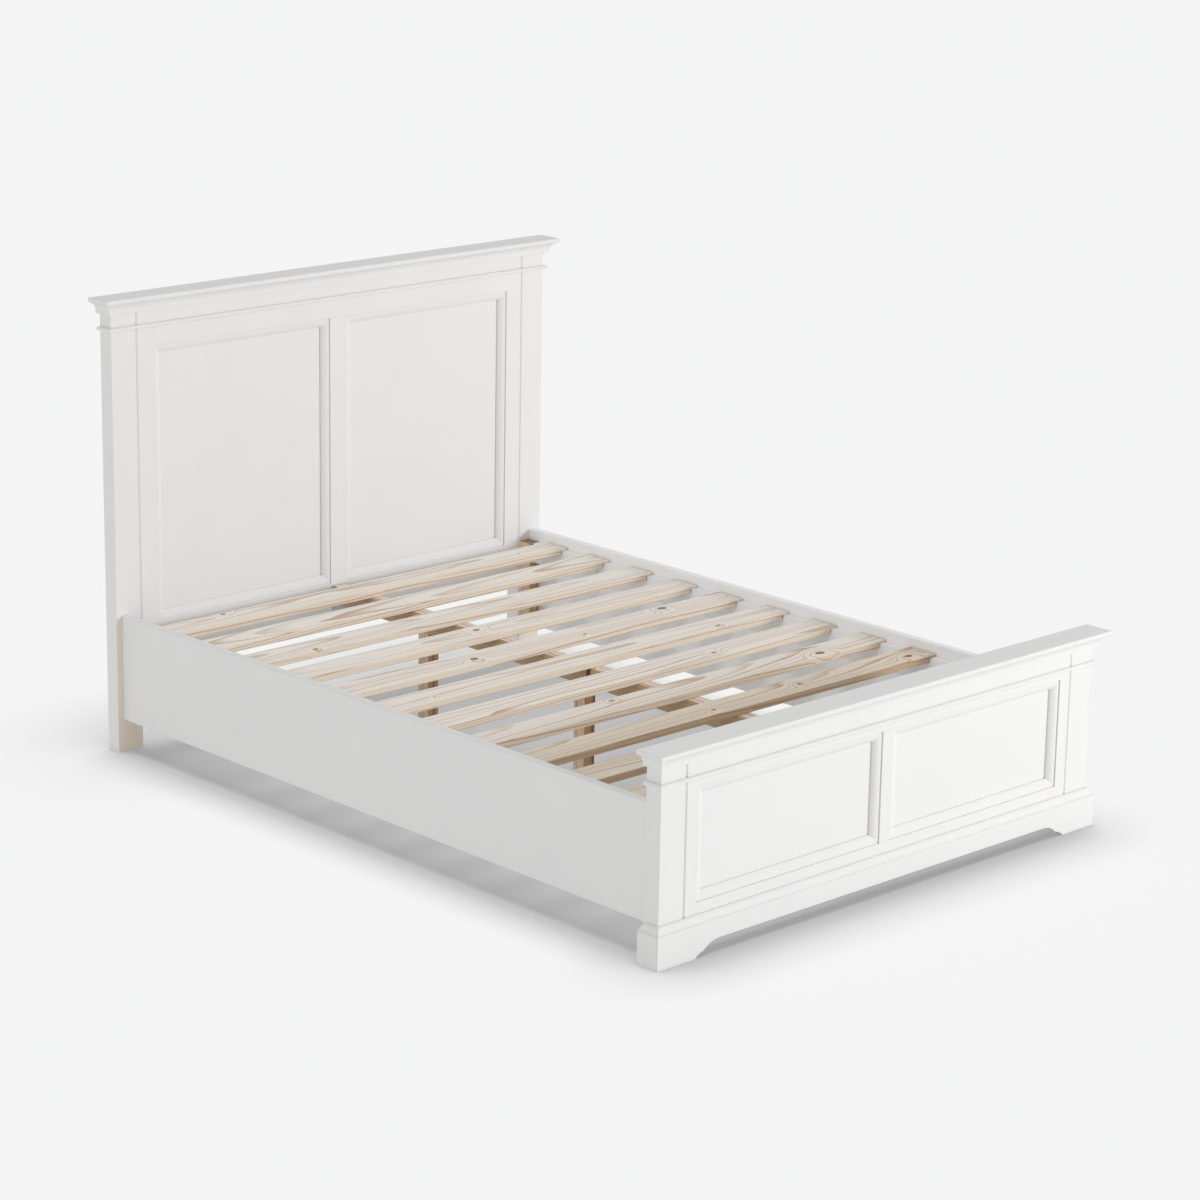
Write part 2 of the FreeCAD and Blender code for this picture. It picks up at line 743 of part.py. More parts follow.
def centre_support():
    """The beam under the slats, its legs and the steel hangers at its ends."""
    half = s.beam_width / 2
    mullion_back = foot_front + s.frame_thickness
    beam_y = (mullion_back + s.hanger_steel, head_front - s.hanger_steel)
    keep(block("centre_beam", (-half, half), beam_y, (beam_bottom, slat_bottom)))
    middle = (foot_back + head_front) / 2
    for word, shift in (("foot", -1), ("middle", 0), ("head", 1)):
        y = middle + s.leg_spacing * shift
        leg_x = (-s.leg_width / 2, s.leg_width / 2)
        leg_y = (y - s.leg_depth / 2, y + s.leg_depth / 2)
        keep(block(f"centre_leg_{word}", leg_x, leg_y, (0, beam_bottom)))
    inside = half + s.hanger_gap
    outside = inside + s.hanger_steel
    seat_top = beam_bottom - s.hanger_gap
    seat_bottom = seat_top - s.hanger_steel
    for word, plate_y, reach_back in (("foot", mullion_back, False), ("head", head_front, True)):
        body = new_body(f"beam_hanger_{word}")
        plate = rectangle(-outside, outside, seat_bottom - s.hanger_tab, slat_bottom)
        pad(body, outline(body, "XZ_Plane", plate), s.hanger_steel, reverse=not reach_back)
        trough = [
            (-outside, slat_bottom),
            (-outside, seat_bottom),
            (outside, seat_bottom),
            (outside, slat_bottom),
            (inside, slat_bottom),
            (inside, seat_top),
            (-inside, seat_top),
            (-inside, slat_bottom),
        ]
        pad(body, outline(body, "XZ_Plane", trough), s.hanger_reach, reverse=not reach_back)
        place(body, 0, plate_y, 0)
        keep(body)


board(
    "head",
    head_front,
    s.head_post_height,
    as_size(0),
    s.head_stile_width,
    s.head_mullion_width,
    s.head_top_rail_height,
    s.head_bottom_rail_base,
    s.head_bottom_rail_height,
)
board(
    "foot",
    foot_front,
    s.foot_post_height,
    s.post_depth,
    s.foot_stile_width,
    s.foot_mullion_width,
    s.foot_top_rail_height,
    s.foot_bottom_rail_base,
    s.foot_bottom_rail_height,
)
plinth_front()
for side, word in ((LEFT, "left"), (RIGHT, "right")):
    plinth_return(side, word)
    side_rail(side, word)
    ledger(side, word)
    corner_block("head", side, word)
    corner_block("foot", side, word)
for number in range(1, SIZES["slat_count"] + 1):
    slat(number)
centre_support()
bolts()

doc.recompute()

LEAST_CUT = 1.0

for item in doc.Objects:
    if "Invalid" in item.State or "Error" in item.State:
        raise SystemExit(f"{item.Label} failed: {item.State}")
    if item.TypeId == "PartDesign::Pocket":
        removed = item.BaseFeature.Shape.Volume - item.Shape.Volume
        if removed < LEAST_CUT:
            raise SystemExit(f"{item.Label} cuts nothing")
for node in nodes:
    if node.Shape.isNull() or not node.Shape.isValid():
        raise SystemExit(f"{node.Label} has no valid shape")

os.makedirs("parts", exist_ok=True)
for node in nodes:
    node.Shape.exportStep(f"parts/{node.Label}.step")
whole = FreeCAD.BoundBox()
for node in nodes:
    whole.add(node.Shape.BoundBox)
print(len(nodes), "nodes", [round(v, 2) for v in (whole.XLength, whole.YLength, whole.ZLength)])
print("lowest", round(whole.ZMin, 3), "Y from", round(whole.YMin, 2), "to", round(whole.YMax, 2))
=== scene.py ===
# %% [markdown]
# # A painted double bed frame with pine slats
# The bed is already built as solids: posts, panels, mouldings, slats and a beam. This lesson
# gives them their finishes, adds the small screws, and sets up a studio to look at them in.
# The solids come in as one mesh per piece, each standing where it belongs.

# %% Load the bed frame
import math

import bpy
from mathutils import Matrix, Vector


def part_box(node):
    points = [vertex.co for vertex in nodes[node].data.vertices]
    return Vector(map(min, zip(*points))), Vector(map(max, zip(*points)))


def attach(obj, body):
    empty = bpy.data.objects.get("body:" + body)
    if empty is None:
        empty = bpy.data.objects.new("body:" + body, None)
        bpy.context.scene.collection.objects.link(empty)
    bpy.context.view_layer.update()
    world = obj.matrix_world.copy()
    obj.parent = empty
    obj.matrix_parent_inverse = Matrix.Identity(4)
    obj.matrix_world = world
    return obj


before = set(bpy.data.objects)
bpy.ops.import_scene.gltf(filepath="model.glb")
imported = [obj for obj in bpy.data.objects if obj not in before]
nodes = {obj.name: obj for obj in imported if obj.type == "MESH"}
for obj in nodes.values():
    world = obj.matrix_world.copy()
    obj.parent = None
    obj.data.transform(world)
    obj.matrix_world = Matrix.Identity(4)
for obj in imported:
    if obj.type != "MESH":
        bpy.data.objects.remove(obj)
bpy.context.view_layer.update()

# %% [markdown]
# ## Three helpers for every material
# A material is a small net of nodes. Writing each node out takes four lines, so one helper
# adds a node, sets it up and plugs its inputs in. The second turns a screen colour, as a
# paint chart gives it, into the linear values that the renderer adds up. The third starts an
# empty material for the others to fill.

# %% Helpers for nodes and colours
def add(tree, kind, inputs=None, **settings):
    """Adds a node with its settings. Each input is either linked or given a value."""
    made = tree.nodes.new(kind)
    for name, value in settings.items():
        setattr(made, name, value)
    for socket, value in (inputs or {}).items():
        if isinstance(value, bpy.types.NodeSocket):
            tree.links.new(value, made.inputs[socket])
        else:
            made.inputs[socket].default_value = value
    return made


def linear(chart):
    """A colour such as #EFEFEE as linear red, green, blue and alpha."""
    parts = [int(chart[i : i + 2], 16) / 255 for i in (1, 3, 5)]
    return [p / 12.92 if p <= 0.04045 else ((p + 0.055) / 1.055) ** 2.4 for p in parts] + [1.0]


def empty_material(name):
    """A material with no nodes yet, and the tree they go in."""
    material = bpy.data.materials.new(name)
    material.use_nodes = True
    material.node_tree.nodes.clear()
    return material, material.node_tree


print("white paint chip:", [round(v, 3) for v in linear("#EFEFEE")])

# %% [markdown]
# ## The colour of the white paint
# The boards are sprayed with a satin white lacquer. Its white is nearly even. The corners of the
# mouldings get a warm painted shade, which stands in for the shade and warm bounced light there.
# A picture of a painted board would have to be cut and turned for every piece. Nodes that read
# the place in metres fit them all, and an Ambient Occlusion node finds the corners by itself.

# %% Mix the white
# The two whites are what even light would show; the corner tone is a warm painted shade.
PAINT_WHITES = ("#EFEEEE", "#F3F3F2")
PAINTED_CORNER_SHADE = "#CFC3B6"
CLOUDS_PER_METRE = 5.0
# Only corners tighter than about 6 mm count, such as the V grooves and moulding steps.
CORNER_REACH = 0.006
# The painted shade is full where a corner is this closed, and gone where it is this open.
CORNER_CLOSED, CORNER_OPEN = 0.2, 0.65


def paint_colour(tree, place):
    """Nearly even white, with clouds a hand wide and a warm painted shade in tight corners."""
    clouds = add(
        tree, "ShaderNodeTexNoise", {"Vector": place, "Scale": CLOUDS_PER_METRE, "Detail": 2.0}
    )
    white = add(
        tree,
        "ShaderNodeMix",
        {0: clouds.outputs["Fac"], 6: linear(PAINT_WHITES[0]), 7: linear(PAINT_WHITES[1])},
        data_type="RGBA",
    )
    corner = add(tree, "ShaderNodeAmbientOcclusion", {"Distance": CORNER_REACH}, samples=6)
    corner_openness = add(
        tree,
        "ShaderNodeMapRange",
        {"Value": corner.outputs["AO"], "From Min": CORNER_CLOSED, "From Max": CORNER_OPEN},
    )
    return add(
        tree,
        "ShaderNodeMix",
        {0: corner_openness.outputs["Result"], 6: linear(PAINTED_CORNER_SHADE), 7: white.outputs[2]},
        data_type="RGBA",
    ).outputs[2]


# The warm tone in the corners is painted shade.
print("paint is warmer in corners within", CORNER_REACH * 1000, "mm")

# %% [markdown]
# ## The film of the white paint
# The grain of the wood and the sanding before the last coat leave very faint streaks in the
# lacquer, and the film rounds every edge a little. Real fillets on every edge would cost many
# faces. A Bevel node bends the normals over each edge instead, and a Bump node adds the
# streaks, which run along the board. So there is one paint for each direction of the grain.

# %% Make the white paint
FILM_EDGE = 0.0014
# Streaks in a metre along the grain, and across it, where they lie 4 mm apart.
STREAKS_ALONG, STREAKS_ACROSS = 3.0, 250.0
STREAK_HEIGHT = 0.00012
STREAK_STRENGTH = 0.3
LACQUER_ROUGHNESS = 0.45
LACQUER_IOR = 1.48


def paint_surface(tree, place, grain):
    """Normals of the film: rounded edges and faint streaks along the grain."""
    stretch = [STREAKS_ALONG if axis == grain else STREAKS_ACROSS for axis in "XYZ"]
    along = add(tree, "ShaderNodeMapping", {"Vector": place, "Scale": stretch})
    streaks = add(
        tree, "ShaderNodeTexNoise", {"Vector": along.outputs["Vector"], "Scale": 1.0, "Detail": 3.0}
    )
    edge = add(tree, "ShaderNodeBevel", {"Radius": FILM_EDGE}, samples=4)
    return add(
        tree,
        "ShaderNodeBump",
        {
            "Height": streaks.outputs["Fac"],
            "Strength": STREAK_STRENGTH,
            "Distance": STREAK_HEIGHT,
            "Normal": edge.outputs["Normal"],
        },
    ).outputs["Normal"]


def painted_wood(name, grain):
    """Satin white lacquer: a wide, soft highlight over an even white."""
    material, tree = empty_material(name)
    place = add(tree, "ShaderNodeTexCoord").outputs["Object"]
    film = add(
        tree,
        "ShaderNodeBsdfPrincipled",
        {
            "Base Color": paint_colour(tree, place),
            "Normal": paint_surface(tree, place, grain),
            "Roughness": LACQUER_ROUGHNESS,
            "IOR": LACQUER_IOR,
        },
    )
    add(tree, "ShaderNodeOutputMaterial", {"Surface": film.outputs["BSDF"]})
    return material


paint = {grain: painted_wood(f"satin_white_lacquer_{grain.lower()}", grain) for grain in "XYZ"}
print("paints:", [material.name for material in paint.values()])

# %% [markdown]
# ## Raw pine
# The slats are sawn from a pine log and left bare. Growth rings are cylinders round the
# heart of the log, and a board cuts through them at a slant, so its face shows long lines
# that close in arches. A picture of a board could be wrapped round each slat, but its edges
# and ends wouldn't agree with its faces. So the pattern is worked out in solid form, from the
# distance to the heart. Every slat lies in a lane of its own, and the lane's number picks
# another heart and other knots for it.

# %% Place each board in its own log
def board_place(tree, grain, side, lanes, level):
    """The lane's random numbers and the place in the board: along, across and up."""
    place = add(tree, "ShaderNodeTexCoord").outputs["Object"]
    axes = add(tree, "ShaderNodeSeparateXYZ", {0: place}).outputs
    start, pitch = lanes
    count = add(
        tree, "ShaderNodeMath", {0: axes[side], 1: start}, operation="SUBTRACT"
    ).outputs[0]
    lane = add(tree, "ShaderNodeMath", {0: count, 1: pitch}, operation="DIVIDE").outputs[0]
    number = add(tree, "ShaderNodeMath", {0: lane}, operation="FLOOR").outputs[0]
    within = add(tree, "ShaderNodeMath", {0: lane}, operation="FRACT").outputs[0]
    middle = add(tree, "ShaderNodeMath", {0: within, 1: 0.5}, operation="SUBTRACT").outputs[0]
    across = add(tree, "ShaderNodeMath", {0: middle, 1: pitch}, operation="MULTIPLY").outputs[0]
    third = next(axis for axis in "XYZ" if axis not in (grain, side))
    up = add(tree, "ShaderNodeMath", {0: axes[third], 1: level}, operation="SUBTRACT").outputs[0]
    luck = add(tree, "ShaderNodeTexWhiteNoise", {"W": number}, noise_dimensions="1D")
    return place, axes[grain], across, up, number, luck.outputs["Color"]


slat_low, slat_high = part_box("slat_01")
slat_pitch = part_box("slat_02")[0].y - slat_low.y
first_lane = (slat_low.y + slat_high.y - slat_pitch) / 2
slat_middle = (slat_low.z + slat_high.z) / 2
print("slats lie", round(slat_pitch * 1000, 1), "mm apart")

# %% [markdown]
# ## Knots
# A knot is the root of a branch, and the rings of the trunk flow round it. Placing each one
# by hand would be slow and would fit one slat only. Here the board's length is cut into
# cells, and each cell draws a place and a radius for one knot, so the eleven slats differ.

# %% Find the nearest knot
KNOT_CELL = 0.31
# Where in its cell a knot lies, as shares, and how far off the board's middle line.
KNOT_SPOT_SHARES = (0.25, 0.75)
KNOT_ASIDE = 0.036
# A branch is cut at a slant, so a knot is longer than wide: its length counts for less.
KNOT_LENGTH_SHARE = 0.65
# About half of the cells have a knot. The others get a radius of nearly nothing.
KNOTLESS_SHARE = 0.45
KNOT_RADII = (0.0006, 0.0095)
# The rings bend most up to the first distance and not at all past the second, in knot radii.
BEND_REACH = (0.6, 6.0)
BEND_MOST = 2.6
# How far the cells of a lane are shifted from those of the lane before, in cells.
LANE_SHIFT = 0.377


def knot_field(tree, along, across, number):
    """How far the nearest knot is, in its own radii, and how much it bends the rings."""
    offset = add(
        tree, "ShaderNodeMath", {0: number, 1: LANE_SHIFT}, operation="MULTIPLY"
    ).outputs[0]
    cell = add(
        tree, "ShaderNodeMath", {0: along, 1: 1 / KNOT_CELL, 2: offset}, operation="MULTIPLY_ADD"
    ).outputs[0]
    cell_number = add(tree, "ShaderNodeMath", {0: cell}, operation="FLOOR").outputs[0]
    in_cell = add(tree, "ShaderNodeMath", {0: cell}, operation="FRACT").outputs[0]
    key = add(tree, "ShaderNodeCombineXYZ", {0: cell_number, 1: number})
    draw = add(tree, "ShaderNodeTexWhiteNoise", {"Vector": key.outputs[0]}, noise_dimensions="2D")
    pick = add(tree, "ShaderNodeSeparateXYZ", {0: draw.outputs["Color"]}).outputs
    first, last = KNOT_SPOT_SHARES
    centre = add(tree, "ShaderNodeMapRange", {"Value": pick[0], "To Min": first, "To Max": last})
    run = add(
        tree, "ShaderNodeMath", {0: in_cell, 1: centre.outputs[0]}, operation="SUBTRACT"
    ).outputs[0]
    run = add(
        tree, "ShaderNodeMath", {0: run, 1: KNOT_CELL * KNOT_LENGTH_SHARE}, operation="MULTIPLY"
    ).outputs[0]
    side = add(
        tree, "ShaderNodeMapRange", {"Value": pick[1], "To Min": -KNOT_ASIDE, "To Max": KNOT_ASIDE}
    )
    rise = add(
        tree, "ShaderNodeMath", {0: across, 1: side.outputs[0]}, operation="SUBTRACT"
    ).outputs[0]
    away = add(tree, "ShaderNodeCombineXYZ", {0: run, 1: rise})
    distance = add(
        tree, "ShaderNodeVectorMath", {0: away.outputs[0]}, operation="LENGTH"
    ).outputs["Value"]
    least, most = KNOT_RADII
    radius = add(
        tree,
        "ShaderNodeMapRange",
        {"Value": pick[2], "From Min": KNOTLESS_SHARE, "To Min": least, "To Max": most},
    ).outputs[0]
    radii = add(tree, "ShaderNodeMath", {0: distance, 1: radius}, operation="DIVIDE").outputs[0]
    near, far = BEND_REACH
    bend = add(
        tree,
        "ShaderNodeMapRange",
        {"Value": radii, "From Min": near, "From Max": far, "To Min": BEND_MOST, "To Max": 0.0},
        interpolation_type="SMOOTHERSTEP",
    ).outputs[0]
    bend = add(tree, "ShaderNodeMath", {0: bend, 1: radius}, operation="MULTIPLY").outputs[0]
    return radii, bend


print("a knot about every", KNOT_CELL * 2, "m")

# %% [markdown]
# ## Growth rings
# A ready-made Wave texture has rings too, but they are as even as a target's. Here the heart
# line of the log stands off the board and at a slant, and two noises, one slow and one quick,
# bend the distance from it a little.

# %% Count the rings
# Real rings are 2 to 4 mm apart. They are drawn 6.5 mm apart to show at this distance.
RING = 0.0065
# How far the heart may lie to the side of the board and below it, and its slant.
HEART_ASIDE = 0.05
HEART_DEEP = (0.03, 0.085)
HEART_SLANT = 0.03
# The two noises: their waves in a metre along and across the board, and how far they bend.
RING_SWAYS = ((1.4, 11.0, 0.024), (4.0, 45.0, 0.004))
# How far apart in the noise two lanes lie.
LANE_SWAY = 3.7


def ring_field(tree, along, across, up, number, luck, bend):
    """Which ring a point is in, counted from the heart of the log."""
    pick = add(tree, "ShaderNodeSeparateXYZ", {0: luck}).outputs
    spans = ((-HEART_ASIDE, HEART_ASIDE), HEART_DEEP, (-HEART_SLANT, HEART_SLANT))
    heart_side, heart_deep, slant = (
        add(
            tree, "ShaderNodeMapRange", {"Value": drawn, "To Min": low, "To Max": high}
        ).outputs[0]
        for drawn, (low, high) in zip(pick, spans)
    )
    dx = add(
        tree, "ShaderNodeMath", {0: across, 1: heart_side}, operation="SUBTRACT"
    ).outputs[0]
    dz = add(tree, "ShaderNodeMath", {0: up, 1: heart_deep}, operation="ADD").outputs[0]
    dz = add(
        tree, "ShaderNodeMath", {0: along, 1: slant, 2: dz}, operation="MULTIPLY_ADD"
    ).outputs[0]
    spread = add(tree, "ShaderNodeCombineXYZ", {0: dx, 1: dz})
    distance = add(
        tree, "ShaderNodeVectorMath", {0: spread.outputs[0]}, operation="LENGTH"
    ).outputs["Value"]
    for waves_along, waves_across, reach in RING_SWAYS:
        waves = (waves_along, waves_across, LANE_SWAY)
        spot = add(tree, "ShaderNodeCombineXYZ", {0: along, 1: across, 2: number}).outputs[0]
        spot = add(
            tree, "ShaderNodeVectorMath", {0: spot, 1: waves}, operation="MULTIPLY"
        ).outputs[0]
        sway = add(tree, "ShaderNodeTexNoise", {"Vector": spot, "Scale": 1.0, "Detail": 1.0})
        distance = add(
            tree,
            "ShaderNodeMath",
            {0: sway.outputs["Fac"], 1: reach, 2: distance},
            operation="MULTIPLY_ADD",
        ).outputs[0]
    distance = add(tree, "ShaderNodeMath", {0: distance, 1: bend}, operation="ADD").outputs[0]
    return add(tree, "ShaderNodeMath", {0: distance, 1: 1 / RING}, operation="MULTIPLY").outputs[0]


print("ring spacing:", RING * 1000, "mm")

# %% [markdown]
# ## The colour of the wood
# Each ring is pale early wood that darkens to late wood and then stops sharply. A colour ramp
# holds that slow darkening and the step back. A knot is a small branch seen end on: brown
# rings of its own inside a dark rim of bark.

# %% Colour the rings and the knots
# Each wood has an early colour and a late colour. The slats are pale sapwood, the beam is a
# little darker, and the legs come from nearer the heart, which is brown.
SAPWOOD = ("#F2ECE3", "#C5A98F")
BEAM_WOOD = ("#ECDFCF", "#B9967A")
HEARTWOOD = ("#DCC1A4", "#6C452A")
# Shares of a ring's width: the wood darkens from the first, and is darkest between the others.
RING_SHARES = (0.5, 0.88, 0.95)
# How much of the pattern shows in the faintest ring.
FAINTEST_RING = 0.05
KNOT_HEART = "#B08A66"
KNOT_RIM = "#6B4730"
KNOT_RINGS = 2.5
KNOT_RING_DEPTH = 0.5
# In knot radii: the bark begins, is full, and has given way to the board's own wood.
BARK_FROM, BARK_FULL, BARK_END = 0.7, 0.95, 1.2


def ring_colour(tree, rings, early, late):
    """The wood's colour from its ring."""
    phase = add(tree, "ShaderNodeMath", {0: rings}, operation="FRACT").outputs[0]
    ramp = add(tree, "ShaderNodeValToRGB", {"Fac": phase})
    stops = ramp.color_ramp.elements
    stops[0].color = early
    stops[1].color = early
    for share, colour in zip(RING_SHARES, (early, late, late)):
        stops.new(share).color = colour
    # Some rings are strong and others hardly show.
    year = add(tree, "ShaderNodeMath", {0: rings}, operation="FLOOR").outputs[0]
    weather = add(tree, "ShaderNodeTexWhiteNoise", {"W": year}, noise_dimensions="1D")
    show = add(
        tree,
        "ShaderNodeMapRange",
        {"Value": weather.outputs["Value"], "To Min": FAINTEST_RING, "To Max": 1.0},
    )
    return add(
        tree,
        "ShaderNodeMix",
        {0: show.outputs[0], 6: early, 7: ramp.outputs["Color"]},
        data_type="RGBA",
    ).outputs[2]


def with_knots(tree, wood, radii):
    """The wood's colour with the knots laid over it."""
    branch = add(
        tree, "ShaderNodeMath", {0: radii, 1: KNOT_RINGS}, operation="MULTIPLY"
    ).outputs[0]
    branch = add(tree, "ShaderNodeMath", {0: branch}, operation="FRACT").outputs[0]
    bark = add(
        tree,
        "ShaderNodeMapRange",
        {"Value": radii, "From Min": BARK_FROM, "From Max": BARK_FULL},
    ).outputs[0]
    branch = add(
        tree,
        "ShaderNodeMath",
        {0: branch, 1: KNOT_RING_DEPTH, 2: bark},
        operation="MULTIPLY_ADD",
    )
    knotty = add(
        tree,
        "ShaderNodeMix",
        {0: branch.outputs[0], 6: linear(KNOT_HEART), 7: linear(KNOT_RIM)},
        data_type="RGBA",
    ).outputs[2]
    knot = add(
        tree,
        "ShaderNodeMapRange",
        {"Value": radii, "From Min": BARK_END, "From Max": BARK_FULL},
        interpolation_type="SMOOTHSTEP",
    ).outputs[0]
    return add(tree, "ShaderNodeMix", {0: knot, 6: wood, 7: knotty}, data_type="RGBA").outputs[2]


print("early and late wood of a slat:", SAPWOOD)

# %% [markdown]
# ## Faces, edges and ends
# A board's faces are planed, its edges are sawn and carry a painted shade, and its cut ends drink
# in light and look much darker. Each solid is one mesh, so a material for each kind of face would
# mean sorting the faces first. One material that reads which way the surface faces does without
# that. The footboard shades the slats nearest the foot, so they get a painted brown shade,
# darkest on their edges, and the lane's number fades it out.

# %% Tint each side of a board
END_GRAIN = 0.42
# Tints, which multiply the wood: none, painted shade on an edge, and painted brown shade on both
# faces of the slats by the footboard.
NO_TINT = (1.0, 1.0, 1.0, 1.0)
EDGE_SHADE = (0.90, 0.84, 0.77, 1.0)
FOOT_SHADE_FACE = (0.88, 0.825, 0.745, 1.0)
FOOT_SHADE_EDGE = (0.635, 0.51, 0.375, 1.0)
# Lanes count from 0. Up to the first number the painted shade is full, and past the second it is
# gone.
# The beam and the legs have low numbers, so their shaded sides get the same painted brown shade.
FOOT_SHADE_LANES = (2.0, 3.5)


def with_sides(tree, colour, grain, side, number, face_shade):
    """The wood's colour as a planed face, a sawn edge or a cut end shows it, with painted shade on
    edges.
    """
    facing = add(tree, "ShaderNodeNewGeometry").outputs["True Normal"]
    facing = add(tree, "ShaderNodeSeparateXYZ", {0: facing}).outputs
    endwise, sideways = (
        add(tree, "ShaderNodeMath", {0: facing[axis]}, operation="ABSOLUTE").outputs[0]
        for axis in (grain, side)
    )
    dim = add(tree, "ShaderNodeMapRange", {"Value": endwise, "To Min": 1.0, "To Max": END_GRAIN})
    colour = add(
        tree, "ShaderNodeVectorMath", {0: colour, "Scale": dim.outputs[0]}, operation="SCALE"
    ).outputs[0]
    last_shaded, first_unshaded = FOOT_SHADE_LANES
    paler = add(
        tree,
        "ShaderNodeMapRange",
        {"Value": number, "From Min": last_shaded, "From Max": first_unshaded},
    ).outputs[0]
    planed, sawn = (
        add(tree, "ShaderNodeMix", {0: paler, 6: shaded, 7: pale}, data_type="RGBA").outputs[2]
        for shaded, pale in ((face_shade, NO_TINT), (FOOT_SHADE_EDGE, EDGE_SHADE))
    )
    tint = add(tree, "ShaderNodeMix", {0: sideways, 6: planed, 7: sawn}, data_type="RGBA")
    return add(
        tree, "ShaderNodeVectorMath", {0: colour, 1: tint.outputs[2]}, operation="MULTIPLY"
    ).outputs[0]


print("a cut end returns", END_GRAIN, "of what a planed face does")

# %% [markdown]
# ## The whole pine
# Planed pine is matt, and its fibres show as fine lines along the board. The slats, the beam
# and the uprights run along different axes, so one function takes the direction and gives
# each of them its own material.

# %% Make the raw pine
PINE_EDGE = 0.0008
# Fibres in a metre along the grain and across it, and how far they change the tone.
FIBRES_ALONG, FIBRES_ACROSS = 7.0, 700.0
FIBRE_TONES = (0.9, 1.08)
FIBRE_HEIGHT = 0.0002
FIBRE_STRENGTH = 0.4
PINE_ROUGHNESS = 0.7
PINE_IOR = 1.45
# Where a row of lanes starts and how wide each is, for the beam and for the upright pieces,
# and the height from which the depth of the beam's log is counted.
BEAM_LANES = (-0.75, 0.5)
UPRIGHT_LANES = (-1.19, 0.595)
BEAM_LEVEL = 0.3


def raw_pine(name, grain, side, lanes, level, woods, face_shade=NO_TINT):
    """Bare planed pine: matt, pale, with long lines, knots and fine fibres."""
    early, late = (linear(chart) for chart in woods)
    material, tree = empty_material(name)
    place, along, across, up, number, luck = board_place(tree, grain, side, lanes, level)
    radii, bend = knot_field(tree, along, across, number)
    rings = ring_field(tree, along, across, up, number, luck, bend)
    stretch = [FIBRES_ALONG if axis == grain else FIBRES_ACROSS for axis in "XYZ"]
    fine = add(tree, "ShaderNodeMapping", {"Vector": place, "Scale": stretch}).outputs[0]
    fibres = add(
        tree, "ShaderNodeTexNoise", {"Vector": fine, "Scale": 1.0, "Detail": 2.0}
    ).outputs["Fac"]
    darker, paler = FIBRE_TONES
    tone = add(
        tree, "ShaderNodeMapRange", {"Value": fibres, "To Min": darker, "To Max": paler}
    ).outputs[0]
    lines = ring_colour(tree, rings, early, late)
    wood = add(
        tree, "ShaderNodeVectorMath", {0: lines, "Scale": tone}, operation="SCALE"
    ).outputs[0]
    wood = with_knots(tree, wood, radii)
    edge = add(tree, "ShaderNodeBevel", {"Radius": PINE_EDGE}, samples=4)
    relief = add(
        tree,
        "ShaderNodeBump",
        {
            "Height": fibres,
            "Strength": FIBRE_STRENGTH,
            "Distance": FIBRE_HEIGHT,
            "Normal": edge.outputs["Normal"],
        },
    )
    surface = add(
        tree,
        "ShaderNodeBsdfPrincipled",
        {
            "Base Color": with_sides(tree, wood, grain, side, number, face_shade),
            "Normal": relief.outputs["Normal"],
            "Roughness": PINE_ROUGHNESS,
            "IOR": PINE_IOR,
        },
    )
    add(tree, "ShaderNodeOutputMaterial", {"Surface": surface.outputs["BSDF"]})
    return material


slat_lanes = (first_lane, slat_pitch)
pine_slats = raw_pine("raw_pine_slats", "X", "Y", slat_lanes, slat_middle, SAPWOOD, FOOT_SHADE_FACE)
pine_beam = raw_pine("raw_pine_beam", "Y", "X", BEAM_LANES, BEAM_LEVEL, BEAM_WOOD)
pine_upright = raw_pine("raw_pine_legs", "Z", "Y", UPRIGHT_LANES, 0.0, HEARTWOOD)
print("pines:", pine_slats.name, pine_beam.name, pine_upright.name)

# %% [markdown]
# ## The bare patch on the head posts
# The front face of each head-post leg shows pale wood below the side board and in a narrow
# strip beside it, whose top slants down away from the board. Cutting the post in two would make
# a joint that isn't there. The post stays one piece, and a mask made from the place and the
# facing of the surface mixes the two finishes.

# %% Make the part-painted post
rail_low, rail_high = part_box("side_rail_right")
BARE_POST = ("#EADDCB", "#F4EADD")
POST_FIBRES_ALONG, POST_FIBRES_ACROSS = 5.0, 500.0
POST_ROUGHNESS = 0.5
# A face is a front face where the Y of its normal is below this.
FRONT_FACING = -0.5
# The patch's top runs down at a slant from the board's top edge: its fall for its width.
PATCH_TOP_SLANT = -1.2


def bare_patch(tree, place):
    """1 on the bare part of a head post's front face, and 0 on the paint."""
    axes = add(tree, "ShaderNodeSeparateXYZ", {0: place}).outputs
    facing = add(tree, "ShaderNodeNewGeometry").outputs["True Normal"]
    forward = add(tree, "ShaderNodeSeparateXYZ", {0: facing}).outputs["Y"]
    front = add(
        tree, "ShaderNodeMath", {0: forward, 1: FRONT_FACING}, operation="LESS_THAN"
    ).outputs[0]
    width = add(tree, "ShaderNodeMath", {0: axes["X"]}, operation="ABSOLUTE").outputs[0]
    beside = add(
        tree, "ShaderNodeMath", {0: width, 1: rail_high.x}, operation="SUBTRACT"
    ).outputs[0]
    slanted = add(
        tree,
        "ShaderNodeMath",
        {0: beside, 1: PATCH_TOP_SLANT, 2: rail_high.z},
        operation="MULTIPLY_ADD",
    ).outputs[0]
    outside = add(tree, "ShaderNodeMath", {0: beside, 1: 0.0}, operation="GREATER_THAN").outputs[0]
    top = add(tree, "ShaderNodeMix", {0: outside, 2: rail_low.z, 3: slanted}).outputs[0]
    under = add(tree, "ShaderNodeMath", {0: axes["Z"], 1: top}, operation="LESS_THAN").outputs[0]
    return add(tree, "ShaderNodeMath", {0: front, 1: under}, operation="MULTIPLY").outputs[0]


